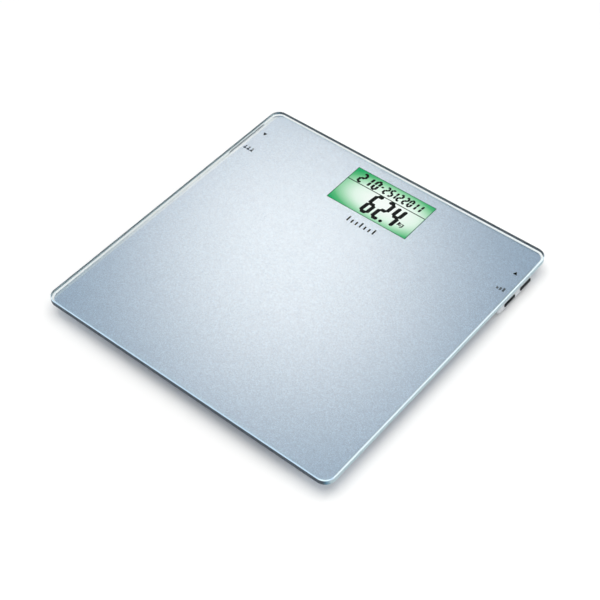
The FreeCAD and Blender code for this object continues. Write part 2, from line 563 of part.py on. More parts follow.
# ---- write every piece -----------------------------------------------------------------------
save("glass_platform", glass_platform())
save("print_film", print_film())
save("mounting_tape", mounting_tape())
save("upper_shell", upper_shell())
save("lower_shell", lower_shell())
save("display_gasket", cut(lcd_rect(LCD_W, LCD_D, LCD_TOP, FILM_BOTTOM), window(0, GLASS_TOP, 0.4)))
save("lcd_panel", lcd_rect(LCD_W, LCD_D, LCD_BOTTOM, LCD_TOP))
save("lcd_frame", lcd_frame())
save("light_guide", behind_panel(BOARD_TOP + SHEET_T, LCD_BOTTOM))
save("backlight_strip", backlight_strip())
save("reflector_sheet", behind_panel(BOARD_TOP, BOARD_TOP + SHEET_T))
save("zebra_strip", zebra_strip())
save("main_board", main_board())
save("board_components", board_components())
save("board_screws", board_screws())
save("housing_screws", housing_screws())
save("coin_cells", coin_cells())
save("positive_contact", positive_contact())
save("negative_contact", negative_contact())
save("battery_cover", battery_cover())
save("unit_switch", unit_switch())
save("unit_knob", unit_knob())
for hand, sign in (("left", -1), ("right", 1)):
    save("side_board_" + hand, side_board(sign))
    save("tact_switches_" + hand, switches(sign))
    save("foot_bracket_" + hand, foot_bracket(sign * FOOT_X, FRONT_FOOT_Y, 1))
    save("foot_cover_" + hand, foot_cover(sign * FOOT_X, FRONT_FOOT_Y))
    save("cable_duct_" + hand, cable_duct(sign * FOOT_X))
    save("button_harness_" + hand, cable("button_harness_" + hand, button_points(sign)))
for label, (sign, row) in BUTTONS.items():
    save("button_" + label, button(sign, BUTTON_YS[row]))
    save("plunger_" + label, plunger(sign, BUTTON_YS[row]))
for place, (px, py, inward) in FEET.items():
    save("load_cell_" + place, load_cell(px, py, inward))
    save("foot_cup_" + place, foot_cup(px, py))
    save("foot_pad_" + place, foot_pad(px, py))
    save("sensor_cable_" + place, cable("sensor_cable_" + place, sensor_points(px, py, inward)))
save("cell_retainers", Part.makeCompound([retainer(px, py) for px, py, _ in FEET.values()]))
save("strain_gauges", Part.makeCompound([strain_gauge(*spot) for spot in FEET.values()]))
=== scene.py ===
# Looks of the glass personal scale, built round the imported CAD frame. Metres, +Z up.
import bpy
import bmesh
import json
import math
from mathutils import Matrix, Vector


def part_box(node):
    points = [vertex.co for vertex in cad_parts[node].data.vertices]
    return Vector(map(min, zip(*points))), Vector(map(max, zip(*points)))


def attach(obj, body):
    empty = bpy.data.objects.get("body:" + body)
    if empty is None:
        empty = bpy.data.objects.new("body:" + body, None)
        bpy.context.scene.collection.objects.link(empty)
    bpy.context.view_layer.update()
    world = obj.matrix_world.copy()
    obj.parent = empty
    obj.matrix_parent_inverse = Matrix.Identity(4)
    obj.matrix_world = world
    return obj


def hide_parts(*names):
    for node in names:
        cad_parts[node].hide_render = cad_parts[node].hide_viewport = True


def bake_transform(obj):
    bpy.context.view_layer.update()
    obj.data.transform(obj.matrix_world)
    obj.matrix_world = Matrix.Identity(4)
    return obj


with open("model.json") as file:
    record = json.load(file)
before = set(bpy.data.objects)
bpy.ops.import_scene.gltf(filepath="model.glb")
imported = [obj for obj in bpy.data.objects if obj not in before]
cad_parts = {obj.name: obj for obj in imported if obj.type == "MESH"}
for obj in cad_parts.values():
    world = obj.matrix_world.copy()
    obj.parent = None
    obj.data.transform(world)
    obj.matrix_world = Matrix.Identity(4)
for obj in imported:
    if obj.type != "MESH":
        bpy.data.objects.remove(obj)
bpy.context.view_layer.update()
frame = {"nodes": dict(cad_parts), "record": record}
MM = 0.001
NODES = frame["nodes"]
SLOT_OF = {part["node"]: part["material_slot"] for part in frame["record"]["subparts"]}

GLASS_LOW, GLASS_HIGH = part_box("glass_platform")
FILM_LOW, FILM_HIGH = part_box("print_film")
PANEL_LOW, PANEL_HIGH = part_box("lcd_panel")
AIR = 0.03 * MM         # thin line of air under the glass, so that it and the print don't share a face
FACE_LOW, FACE_HIGH = FILM_HIGH.z + AIR + 0.02 * MM, FILM_HIGH.z + AIR + 0.04 * MM
FIGURE_LOW, FIGURE_HIGH = FACE_HIGH + 0.02 * MM, FACE_HIGH + 0.05 * MM
WINDOW_HALF_W, WINDOW_HALF_D, WINDOW_Y = 43.0, 23.5, 113.4      # clear window in the print, in millimetres


# ---- camera ------------------------------------------------------------------------------
CAMERA_PLACE = Vector((0.5154, -0.6004, 0.8863))
CAMERA_AIM = Vector((0.0185, -0.0218, GLASS_HIGH.z))
CAMERA_ROLL = math.radians(-1.63)
LENS_MM, SENSOR_MM = 84.0, 36.0


def make_camera():
    data = bpy.data.cameras.new("camera")
    data.lens, data.sensor_width = LENS_MM, SENSOR_MM
    data.clip_start, data.clip_end = 0.01, 50.0
    camera = bpy.data.objects.new("camera", data)
    camera.rotation_mode = "QUATERNION"
    camera.location = CAMERA_PLACE
    turn = (CAMERA_AIM - CAMERA_PLACE).to_track_quat("-Z", "Y")
    camera.rotation_quaternion = turn @ Matrix.Rotation(CAMERA_ROLL, 4, "Z").to_quaternion()
    bpy.context.scene.collection.objects.link(camera)
    bpy.context.scene.camera = camera


# ---- material helpers ----------------------------------------------------------------------
class Shade:
    """A node material with one Principled shader, and short calls for the nodes that feed it."""

    def __init__(self, name, **inputs):
        self.material = bpy.data.materials.new(name)
        self.material.use_nodes = True
        self.tree = self.material.node_tree
        self.shader = self.tree.nodes["Principled BSDF"]
        self.coords = self.tree.nodes.new("ShaderNodeTexCoord").outputs["Object"]
        for key, value in inputs.items():
            self.set(key, value)

    def feed(self, socket, value):
        """Link the socket to an output, or set it to a number or to a colour of three numbers."""
        if isinstance(value, bpy.types.NodeSocket):
            self.tree.links.new(value, socket)
        else:
            socket.default_value = (*value, 1.0) if hasattr(value, "__len__") else value

    def set(self, key, value):
        self.feed(self.shader.inputs[key.replace("_", " ").title().replace("Ior", "IOR")], value)

    def node(self, kind, links=(), **settings):
        node = self.tree.nodes.new(kind)
        for key, value in settings.items():
            setattr(node, key, value)
        for key, value in dict(links).items():
            socket = node.inputs[key]
            if isinstance(value, bpy.types.NodeSocket):
                self.tree.links.new(value, socket)
            else:
                socket.default_value = value
        return node

    def noise(self, size, detail=3.0, rough=0.55):
        """Noise with features about this size in metres, from 0 to 1."""
        links = {"Vector": self.coords, "Scale": 1 / size, "Detail": detail, "Roughness": rough}
        return self.node("ShaderNodeTexNoise", links).outputs["Fac"]

    def cells(self, size):
        """Cells about this size in metres."""
        return self.node("ShaderNodeTexVoronoi", {"Vector": self.coords, "Scale": 1 / size})

    def ramp(self, value, stops):
        """Colour ramp; stops are (position, colour) with colours as three numbers or one grey."""
        node = self.node("ShaderNodeValToRGB", {"Fac": value})
        ramp = node.color_ramp
        while len(ramp.elements) < len(stops):
            ramp.elements.new(1.0)
        for element, (place, colour) in zip(ramp.elements, stops):
            element.position = place
            element.color = (*(colour if hasattr(colour, "__len__") else (colour,) * 3), 1.0)
        return node.outputs["Color"]

    def math(self, operation, a, b=0.0):
        return self.node("ShaderNodeMath", {0: a, 1: b}, operation=operation).outputs[0]

    def mix(self, share, a, b, blend="MIX"):
        node = self.node("ShaderNodeMix", data_type="RGBA", blend_type=blend)
        for index, value in ((0, share), (6, a), (7, b)):       # factor and the two colours
            self.feed(node.inputs[index], value)
        return node.outputs[2]

    def axes(self):
        split = self.node("ShaderNodeSeparateXYZ", {0: self.coords})
        return split.outputs["X"], split.outputs["Y"], split.outputs["Z"]

    def bump(self, height, depth, strength=1.0):
        node = self.node("ShaderNodeBump", {"Height": height, "Distance": depth, "Strength": strength})
        self.tree.links.new(node.outputs["Normal"], self.shader.inputs["Normal"])


def spread(colour, amount):
    """A darker and a lighter tone round one colour."""
    dark = tuple(max(0.0, c * (1 - amount)) for c in colour)
    light = tuple(min(1.0, c * (1 + amount)) for c in colour)
    return dark, light


BLOTCH = 18 * MM                # size of the colour drift in a moulding
GLOSS_DRIFT = 0.08
ROLLED, ROLLED_GRAIN, ROLLED_TONE = (1.0, 14.0, 1.0), 0.5 * MM, 0.10


def moulded(name, colour, rough=0.5, grain=0.35 * MM, depth=0.02 * MM, tone=0.06, **more):
    """Plastic or rubber with a fine moulded grain, faint colour drift and uneven gloss."""
    shade = Shade(name, **more)
    dark, light = spread(colour, tone)
    drift = shade.noise(BLOTCH, 4.0)
    shade.set("base_color", shade.ramp(drift, [(0.3, dark), (0.7, light)]))
    fine = shade.noise(grain, 2.0)
    gloss = [(0.3, max(0.02, rough - GLOSS_DRIFT)), (0.7, min(1.0, rough + GLOSS_DRIFT))]
    shade.set("roughness", shade.ramp(fine, gloss))
    shade.bump(fine, depth)
    return shade.material


def metal(name, colour, rough):
    """Metal with a drawn or rolled grain along one direction."""
    shade = Shade(name, metallic=1.0)
    mapping = shade.node("ShaderNodeMapping", {"Vector": shade.coords, "Scale": ROLLED})
    grain = {"Vector": mapping.outputs[0], "Scale": 1 / ROLLED_GRAIN, "Detail": 4.0}
    lines = shade.node("ShaderNodeTexNoise", grain).outputs["Fac"]
    dark, light = spread(colour, ROLLED_TONE)
    shade.set("base_color", shade.ramp(lines, [(0.3, dark), (0.7, light)]))
    shade.set("roughness", shade.ramp(shade.noise(6 * MM), [(0.3, rough - 0.07), (0.7, rough + 0.10)]))
    shade.bump(lines, 0.006 * MM)
    return shade.material


# ---- materials -----------------------------------------------------------------------------
GLASS_TINTS = (0.930, 0.978, 0.986), (0.937, 0.981, 0.989)
BORDER_TINT = (0.90, 0.985, 1.0)
GROUND_PALE = (0.80, 0.90, 0.95)
GROUND_GRAIN, GROUND_DEPTH = 0.2 * MM, 0.004 * MM
# Painted light and shade on the ground edge: darkest on the side facing this way (the front), pale on the
# others
FRONT_OF_EDGE = (-0.17, -0.985, 0)
EDGE_LIGHT_AND_SHADE = [(0.25, (0.66, 0.85, 0.91)), (0.57, (0.10, 0.35, 0.54)), (0.80, (0.004, 0.030, 0.060))]
# Painted light and shade on the upper arris: a painted highlight on the front and right sides, painted shade
# on the back and left
FRONT_OF_ARRIS = (0.55, -0.835, 0)
ARRIS_LIGHT_AND_SHADE = [(-0.30, (0.055, 0.095, 0.115)), (0.15, (0.45, 0.60, 0.68)), (0.50, (0.82, 0.95, 1.00)),
               (0.83, (0.52, 0.71, 0.88)), (0.97, (0.72, 0.90, 0.98))]
LOWER_ARRIS = (0.78, 0.95, 1.00)


def clear_glass():
    """Float glass with a faint blue-green cast, stronger in the clear border round the print."""
    shade = Shade("clear_glass", roughness=0.0, transmission_weight=1.0, IOR=1.5)
    x, y, _ = shade.axes()
    reach = shade.math("MAXIMUM", shade.math("ABSOLUTE", x), shade.math("ABSOLUTE", y))
    cast = shade.ramp(shade.noise(60 * MM, 1.0), list(zip((0.3, 0.7), GLASS_TINTS)))
    border = shade.math("GREATER_THAN", reach, FILM_HIGH.x)
    shade.set("base_color", shade.mix(border, cast, BORDER_TINT))
    return shade.material


def painted_light_by_side(shade, direction, stops):
    """Painted light and shade: colour by the side that a face of the plate is on. Stops are (cosine to the
    direction, colour).
    """
    def vector(operation, *values):
        return shade.node("ShaderNodeVectorMath", enumerate(values), operation=operation).outputs

    normal = shade.node("ShaderNodeTexCoord").outputs["Normal"]
    level = vector("MULTIPLY", normal, (1, 1, 0))[0]
    facing = vector("DOT_PRODUCT", vector("NORMALIZE", level)[0], direction)["Value"]
    place = shade.math("ADD", shade.math("MULTIPLY", facing, 0.5), 0.5)
    return shade.ramp(place, [(0.5 + dot / 2, colour) for dot, colour in stops])


def ground_edge():
    """Ground side of the plate: satin, with painted light and shade by side, deep teal-blue along the front
    and pale on its other sides.
    """
    shade = Shade("ground_edge", roughness=0.5, specular_ior_level=0.15, transmission_weight=0.45)
    # painted light and shade by side
    tone = painted_light_by_side(shade, FRONT_OF_EDGE, EDGE_LIGHT_AND_SHADE)
    cloud = shade.math("MULTIPLY", shade.noise(4 * MM, 2.0), 0.12)
    shade.set("base_color", shade.mix(cloud, tone, GROUND_PALE))
    shade.bump(shade.noise(GROUND_GRAIN), GROUND_DEPTH)
    return shade.material


def ground_arris():
    """Ground arris round the plate: a painted highlight along the front and right of its upper rim, painted
    shade along the display edge and the left edge; pale all along its lower rim.
    """
    shade = Shade("ground_arris", roughness=0.4, specular_ior_level=0.3)
    # painted highlight and shade by side, on the upper arris only
    tone = painted_light_by_side(shade, FRONT_OF_ARRIS, ARRIS_LIGHT_AND_SHADE)
    normal = shade.node("ShaderNodeTexCoord").outputs["Normal"]
    up = shade.node("ShaderNodeSeparateXYZ", {0: normal}).outputs["Z"]
    ground = shade.mix(shade.math("LESS_THAN", up), tone, LOWER_ARRIS)
    cloud = shade.math("MULTIPLY", shade.noise(3 * MM, 2.0), 0.10)
    shade.set("base_color", shade.mix(cloud, ground, GROUND_PALE))
    shade.bump(shade.noise(GROUND_GRAIN), GROUND_DEPTH)
    return shade.material


LEFT_LIGHT_WIDTH, LEFT_LIGHT_TONE = 3.0 * MM, (0.80, 0.90, 0.98)      # painted light: a lighter band along the left edge of the print
PRINT_DARK, PRINT_LIGHT = (0.505, 0.65, 0.83), (0.565, 0.715, 0.90)
FLAKE = 0.65 * MM
FLAKE_TONES = [(0.0, (0.84, 0.84, 0.86)), (0.6, (0.98, 0.98, 0.98)), (1.0, (1.14, 1.14, 1.12))]


def silver_print():
    """Screen-printed metallic ink: blue-silver, with flakes that differ a little in tone and tilt, and a band
    of painted light along its left edge.
    """
    shade = Shade("silver_print", metallic=0.92, roughness=0.30)
    flakes = shade.cells(FLAKE)
    flake_tone = shade.node("ShaderNodeSeparateColor", {0: flakes.outputs["Color"]}).outputs[0]
    cloud = shade.noise(2.6 * MM, 4.0, 0.7)
    base = shade.ramp(cloud, [(0.30, PRINT_DARK), (0.70, PRINT_LIGHT)])
    sparkle = shade.ramp(flake_tone, FLAKE_TONES)
    # painted light along the left edge of the print
    inward = shade.math("DIVIDE", shade.math("SUBTRACT", shade.axes()[0], FILM_LOW.x), LEFT_LIGHT_WIDTH)
    left_light = shade.ramp(inward, [(0.85, 0.6), (1.15, 0.0)])
    printed = shade.mix(left_light, base, LEFT_LIGHT_TONE)
    shade.set("base_color", shade.mix(0.9, printed, sparkle, "MULTIPLY"))
    shade.bump(shade.noise(0.7 * MM, 2.0), 0.020 * MM, 0.6)
    return shade.material


GLOW_X, GLOW_Y = 6 * MM, -1 * MM                        # the brightest spot, from the panel's centre
GLOW_HALF_W, GLOW_HALF_D, GLOW_REACH, GLOW_POWER = 56 * MM, 25 * MM, 0.74, 2.2
GLOW_TONES = [(0.0, (0.93, 0.95, 0.92)), (0.22, (0.76, 0.90, 0.79)), (0.45, (0.38, 0.70, 0.46)),
              (0.72, (0.09, 0.48, 0.19)), (1.0, (0.01, 0.38, 0.12))]
LIT_HALF_W, LIT_HALF_D, LIT_BLUR = 42.0 * MM, 22.6 * MM, 0.7 * MM
DISPLAY_BORDER = (0.01, 0.10, 0.06)


def display():
    """Back-lit panel: pale in the middle, deep green towards the corners, dark line at the border."""
    shade = Shade("display", roughness=0.25, specular_ior_level=0.0)
    x, y, _ = shade.axes()
    centre = (PANEL_LOW + PANEL_HIGH) / 2
    across = shade.math("DIVIDE", shade.math("SUBTRACT", x, centre.x + GLOW_X), GLOW_HALF_W)
    along = shade.math("DIVIDE", shade.math("SUBTRACT", y, centre.y + GLOW_Y), GLOW_HALF_D)
    powers = [shade.math("POWER", shade.math("ABSOLUTE", v), GLOW_POWER) for v in (across, along)]
    glow = shade.ramp(shade.math("MULTIPLY", shade.math("ADD", *powers), GLOW_REACH), GLOW_TONES)
    side = shade.math("SUBTRACT", shade.math("ABSOLUTE", x), LIT_HALF_W)
    end = shade.math("SUBTRACT", shade.math("ABSOLUTE", shade.math("SUBTRACT", y, centre.y)), LIT_HALF_D)
    outside = shade.math("MULTIPLY", shade.math("MAXIMUM", side, end), 1 / LIT_BLUR)
    border = shade.math("MINIMUM", shade.math("MAXIMUM", outside, 0.0), 1.0)
    lit = shade.mix(border, glow, DISPLAY_BORDER)
    shade.set("base_color", shade.mix(0.85, lit, (0.0, 0.01, 0.005)))
    shade.tree.links.new(lit, shade.shader.inputs["Emission Color"])
    shade.shader.inputs["Emission Strength"].default_value = 1.0
    shade.bump(shade.noise(0.4 * MM), 0.004 * MM)
    return shade.material


def circuit_board():
    """Green solder mask with faint tracks and tinned pads."""
    shade = Shade("circuit_board", coat_weight=0.3)
    tracks = {"Vector": shade.coords, "Scale": 1 / (7 * MM), "Mortar Size": 0.04,
              "Mortar": (0.05, 0.32, 0.12, 1), "Color1": (0.015, 0.16, 0.06, 1),
              "Color2": (0.02, 0.20, 0.07, 1)}
    brick = shade.node("ShaderNodeTexBrick", tracks)
    pads = shade.cells(4.5 * MM).outputs["Distance"]
    dots = shade.ramp(pads, [(0.0, 1.0), (0.11, 1.0), (0.13, 0.0)])
    shade.set("base_color", shade.mix(dots, brick.outputs["Color"], (0.62, 0.60, 0.52)))
    shade.set("roughness", shade.ramp(shade.noise(1.2 * MM), [(0.3, 0.28), (0.7, 0.42)]))
    shade.bump(brick.outputs["Fac"], 0.02 * MM)
    return shade.material


MATERIALS = {
    "clear_glass": clear_glass,
    "silver_print": silver_print,
    "display": display,
    "circuit_board": circuit_board,
    "white_tape": lambda: moulded("white_tape", (0.80, 0.80, 0.77), 0.7),
    "housing_plastic": lambda: moulded("housing_plastic", (0.60, 0.635, 0.665), 0.46, coat_weight=0.08),
    "black_foam": lambda: moulded("black_foam", (0.02, 0.022, 0.024), 0.9, 0.8 * MM, 0.15 * MM),
    "black_plastic": lambda: moulded("black_plastic", (0.025, 0.025, 0.028), 0.42),
    "white_plastic": lambda: moulded("white_plastic", (0.78, 0.78, 0.75), 0.40),
    "light_acrylic": lambda: moulded("light_acrylic", (0.75, 0.92, 0.80), 0.12, tone=0.02),
    "key_rubber": lambda: moulded("key_rubber", (0.008, 0.012, 0.015), 0.62, 0.25 * MM,
                                  specular_ior_level=0.3),
    "plated_steel": lambda: metal("plated_steel", (0.60, 0.60, 0.62), 0.28),
    "battery_steel": lambda: metal("battery_steel", (0.72, 0.72, 0.73), 0.22),
    "contact_metal": lambda: metal("contact_metal", (0.74, 0.68, 0.50), 0.25),
    "cell_steel": lambda: metal("cell_steel", (0.62, 0.62, 0.64), 0.35),
    "white_resin": lambda: moulded("white_resin", (0.86, 0.86, 0.83), 0.25, 0.9 * MM, 0.05 * MM),
    "foot_plastic": lambda: moulded("foot_plastic", (0.30, 0.32, 0.35), 0.48),
    "pad_rubber": lambda: moulded("pad_rubber", (0.060, 0.062, 0.068), 0.75, 0.5 * MM, 0.06 * MM, tone=0.15),
    "cable_vinyl": lambda: moulded("cable_vinyl", (0.16, 0.16, 0.18), 0.38),
}


def paint_cad_nodes():
    made = {slot: maker() for slot, maker in MATERIALS.items()}
    for name, obj in NODES.items():
        obj.data.materials.clear()
        obj.data.materials.append(made[SLOT_OF[name]])
    return made


# ---- mesh helpers --------------------------------------------------------------------------
def new_piece(name, mesh, body, material):
    piece = bpy.data.objects.new(name, mesh)
    bpy.context.scene.collection.objects.link(piece)
    mesh.materials.append(material)
    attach(piece, body)
    return piece


CORNER_STEPS = 24


def corner_ring(half, radius):
    """Points of a square with rounded corners, anticlockwise."""
    points = []
    for quarter, (sx, sy) in enumerate(((1, 1), (-1, 1), (-1, -1), (1, -1))):
        for step in range(CORNER_STEPS + 1):
            angle = math.radians(90 * (quarter + step / CORNER_STEPS))
            points.append((sx * (half - radius) + radius * math.cos(angle),
                           sy * (half - radius) + radius * math.sin(angle)))
    return points


def lofted(rings):
    """Closed mesh through rings of equal length; each ring is a list of (x, y, z)."""
    bm = bmesh.new()
    rows = [[bm.verts.new(p) for p in ring] for ring in rings]
    for low, high in zip(rows, rows[1:]):
        for i in range(len(low)):
            j = (i + 1) % len(low)
            bm.faces.new((low[i], low[j], high[j], high[i]))
    bm.faces.new(list(reversed(rows[0])))
    bm.faces.new(rows[-1])
    bm.normal_update()
    mesh = bpy.data.meshes.new("lofted")
    bm.to_mesh(mesh)
    bm.free()
    return mesh


def plates(shapes, z0, z1):
    """Mesh of thin upright prisms, one per flat outline."""
    bm = bmesh.new()
    for outline in shapes:
        low = [bm.verts.new((x, y, z0)) for x, y in outline]
        high = [bm.verts.new((x, y, z1)) for x, y in outline]
        bm.faces.new(list(reversed(low)))
        bm.faces.new(high)
        for i in range(len(low)):
            j = (i + 1) % len(low)
            bm.faces.new((low[i], low[j], high[j], high[i]))
    bmesh.ops.recalc_face_normals(bm, faces=bm.faces)
    mesh = bpy.data.meshes.new("plates")
    bm.to_mesh(mesh)
    bm.free()
    return mesh


# ---- glass plate ---------------------------------------------------------------------------
PLATE_CORNER = 10 * MM
LOW_ARRIS, TOP_ARRIS = 0.7 * MM, 0.8 * MM


def glass_plate(material, arris, edge):
    """The plate with rounded corners, and a ground arris along both rims."""
    half, low, high = GLASS_HIGH.x, GLASS_LOW.z + AIR, GLASS_HIGH.z
    steps = [(low, LOW_ARRIS), (low + LOW_ARRIS, 0.0), (high - TOP_ARRIS, 0.0), (high, TOP_ARRIS)]
    rings = [[(x, y, z) for x, y in corner_ring(half - inset, PLATE_CORNER - inset)] for z, inset in steps]
    piece = new_piece("glass_plate", lofted(rings), "platform", material)
    piece.data.materials.append(arris)
    piece.data.materials.append(edge)
    for face in piece.data.polygons:
        lean = face.normal.z
        face.material_index = 0 if abs(lean) > 0.99 else 1 if lean > 0.1 else 2
    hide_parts("glass_platform")


# ---- display contents ----------------------------------------------------------------------
SEGMENTS = {"0": "abcdef", "1": "bc", "2": "abged", "4": "fgbc", "5": "afgcd", "6": "afgecd", "-": "g"}
LEAN = math.tan(math.radians(5.5))
TIP_CUT, SEGMENT_GAP = 0.28, 0.03       # shares of the stroke
# figure, left, foot, width, height and stroke, in millimetres
WEIGHT = [(figure, left, 92.6, 10.2, 27.0, 3.7) for figure, left in (("6", -11.3), ("2", 1.2), ("4", 14.2))]
TIME = [("2", -35.4, 120.8, 6.6, 13.6, 2.5), ("1", -27.4, 120.8, 5.8, 13.4, 2.5),
        ("0", -19.8, 120.8, 6.4, 13.4, 2.5), ("-", -13.2, 122.8, 4.8, 12.2, 1.9)]
DATE = [(figure, left, 122.5, 5.0, 10.6, 2.05) for figure, left in
        zip("25122011", (-8.1, -2.4, 1.2, 6.8, 12.9, 18.4, 23.2, 28.4))]


def bar(start, end, width, cut):
    """Outline of a straight stroke with pointed ends, each cut times the width long."""
    a, b = Vector(start), Vector(end)
    along = (b - a).normalized()
    side = Vector((-along.y, along.x)) * width / 2
    tip = along * width * cut
    return [a, a + tip + side, b - tip + side, b, b - tip - side, a + tip - side]


def digit(char, left, foot, width, height, stroke):
    """Seven-segment figure, leaning to the right, as flat outlines."""
    h = stroke / 2
    x0, x1, y0, y1 = left + h, left + width - h, foot + h, foot + height - h
    ym, gap = (y0 + y1) / 2, stroke * SEGMENT_GAP
    ends = {"a": ((x0, y1), (x1, y1)), "b": ((x1, ym), (x1, y1)), "c": ((x1, y0), (x1, ym)),
            "d": ((x0, y0), (x1, y0)), "e": ((x0, y0), (x0, ym)), "f": ((x0, ym), (x0, y1)),
            "g": ((x0, ym), (x1, ym))}
    outlines = []
    for key in SEGMENTS[char]:
        a, b = (Vector(p) for p in ends[key])
        inward = (b - a).normalized() * gap
        shape = bar(a + inward, b - inward, stroke, TIP_CUT)
        outlines.append([(p.x + LEAN * (p.y - foot), p.y) for p in shape])
    return outlines


def disc_outline(centre, radius, sides):
    turns = [2 * math.pi * k / sides for k in range(sides)]
    return [(centre[0] + radius * math.cos(turn), centre[1] + radius * math.sin(turn)) for turn in turns]


def scaled(shapes):
    """Outlines in metres from outlines in millimetres."""
    return [[(x * MM, y * MM) for x, y in shape] for shape in shapes]


def display_face(material):
    """Face of the display as it shows in the window of the print, just inside the glass."""
    w, d = WINDOW_HALF_W, WINDOW_HALF_D
    outline = [(-w, WINDOW_Y - d), (w, WINDOW_Y - d), (w, WINDOW_Y + d), (-w, WINDOW_Y + d)]
    new_piece("display_face", plates(scaled([outline]), FACE_LOW, FACE_HIGH), "platform", material)


def display_figures(material):
    """The large weight with its point, and the row of time and date, just above the display's face."""
    shapes = [outline for figure in WEIGHT for outline in digit(*figure)]
    shapes.append(disc_outline((13.0, 94.4), 1.7, 20))
    shapes += [outline for figure in TIME + DATE for outline in digit(*figure)]
    figures = plates(scaled(shapes), FIGURE_LOW, FIGURE_HIGH)
    new_piece("display_figures", figures, "platform", material)


def unit_mark(material):
    """The small unit beside the weight, in plain strokes."""
    k = [bar((27.2, 99.6), (27.6, 104.2), 1.2, 0.2), bar((27.6, 101.6), (29.3, 103.4), 1.1, 0.2),
         bar((27.8, 101.9), (29.5, 99.8), 1.1, 0.2)]
    turns = [math.radians(a) for a in range(0, 361, 30)]
    ring = [(30.9 + 1.25 * math.cos(turn), 101.6 + 1.35 * math.sin(turn)) for turn in turns]
    g = [bar(a, b, 1.0, 0.3) for a, b in zip(ring, ring[1:])]
    g += [bar((32.3, 103.2), (32.1, 99.2), 1.1, 0.2), bar((32.1, 99.2), (30.2, 98.6), 1.0, 0.2)]
    shapes = scaled([[(p.x, p.y) for p in shape] for shape in k + g])
    new_piece("unit_mark", plates(shapes, FIGURE_LOW, FIGURE_HIGH), "platform", material)


def display_rule(material):
    """Line between the upper row and the weight."""
    line = [(-42.4, 119.6), (42.4, 119.6), (42.4, 120.5), (-42.4, 120.5)]
    rule = plates(scaled([line]), FIGURE_LOW, FIGURE_HIGH)
    new_piece("display_rule", rule, "platform", material)


# ---- printed marks under the glass ---------------------------------------------------------
TICK_HALF_W, TICK_FOOT, TICK_STEP, TICK_MID = 0.75, 77.0, 4.6, 3.4      # millimetres


def arrow(x, y, up):
    return [(x - 2.0, y - up * 1.6), (x + 2.0, y - up * 1.6), (x, y + up * 1.9)]


def printed_marks(dark, soft):
    """Arrow marks beside the keys, pictograms for the lower keys, and a row of ruler ticks by the display."""
    z0, z1 = FIGURE_LOW, FIGURE_HIGH
    arrows = [arrow(139.4, 115.9, 1), arrow(-138.4, 117.6, -1)]
    new_piece("arrow_marks", plates(scaled(arrows), z0, z1), "platform", dark)
    bars = [[(x - 0.9, 92.0), (x + 0.9, 92.0), (x + 0.9, 92.0 + h), (x - 0.9, 92.0 + h)]
            for x, h in ((136.1, 2.4), (139.0, 3.4), (141.9, 4.4))]
    new_piece("level_pictogram", plates(scaled(bars), z0, z1), "platform", soft)
    person = []
    for x in (-141.5, -137.6, -133.7):
        person.append(disc_outline((x, 95.6), 0.85, 14))
        person.append([(x - 1.4, 91.9), (x + 1.4, 91.9), (x + 1.2, 93.6), (x + 0.5, 94.4), (x - 0.5, 94.4),
                       (x - 1.2, 93.6)])
    new_piece("people_pictogram", plates(scaled(person), z0, z1), "platform", soft)
    ticks = []
    for k in range(-3, 4):
        low, high = TICK_FOOT, TICK_FOOT + (6.2 if k % 3 == 0 else 4.2)
        x0, x1 = TICK_MID + TICK_STEP * k - TICK_HALF_W, TICK_MID + TICK_STEP * k + TICK_HALF_W
        ticks.append([(x0, low), (x1, low), (x1, high), (x0, high)])
    new_piece("ruler_mark", plates(scaled(ticks), z0, z1), "platform", dark)


# ---- load cells ----------------------------------------------------------------------------
CELL_PLACES = ("front_left", "front_right", "rear_left", "rear_right")
BEND_START, BEND_END = 8.0 * MM, 5.0 * MM       # the tongue bends between these, from the cell's centre
BEND_CUTS = 6
SLOT_MID_X, SLOT_MID_Y = 8.2 * MM, 10.2 * MM    # middle of the slots that cut the tongue free
CUT_MARGIN = 0.05 * MM                          # the slots' end walls lie on the cut and stay in the frame
GAUGE_REACH = 20.0 * MM
WELD, FLAT = 0.001 * MM, 0.0001 * MM
SHARP = math.radians(30)


def part_of(node, cuts, wanted):
    """Mesh of the part of a CAD node that is wanted, cut across at each y and closed where it is cut."""
    bm = bmesh.new()
    bm.from_mesh(NODES[node].data)
    bmesh.ops.remove_doubles(bm, verts=bm.verts, dist=WELD)
    for y in cuts:
        bmesh.ops.bisect_plane(bm, geom=bm.verts[:] + bm.edges[:] + bm.faces[:], dist=FLAT,
                               plane_co=(0, y, 0), plane_no=(0, 1, 0))
    dropped = [face for face in bm.faces if not wanted(face.calc_center_median())]
    bmesh.ops.delete(bm, geom=dropped, context="FACES")
    bmesh.ops.holes_fill(bm, edges=[edge for edge in bm.edges if edge.is_boundary], sides=0)
    bmesh.ops.recalc_face_normals(bm, faces=bm.faces)
    mesh = bpy.data.meshes.new(node)
    bm.to_mesh(mesh)
    bm.free()
    if "custom_normal" in mesh.attributes:      # the CAD mesh's normals don't fit the cut faces
        mesh.attributes.remove(mesh.attributes["custom_normal"])
    mesh.shade_smooth()
    mesh.set_sharp_from_angle(angle=SHARP)
    return mesh


def bending_piece(name, mesh, material):
    """A piece of its own with this material, its place baked into its mesh."""
    piece = bpy.data.objects.new(name, mesh)
    bpy.context.scene.collection.objects.link(piece)
    mesh.materials.append(material)
    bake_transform(piece)
    return piece


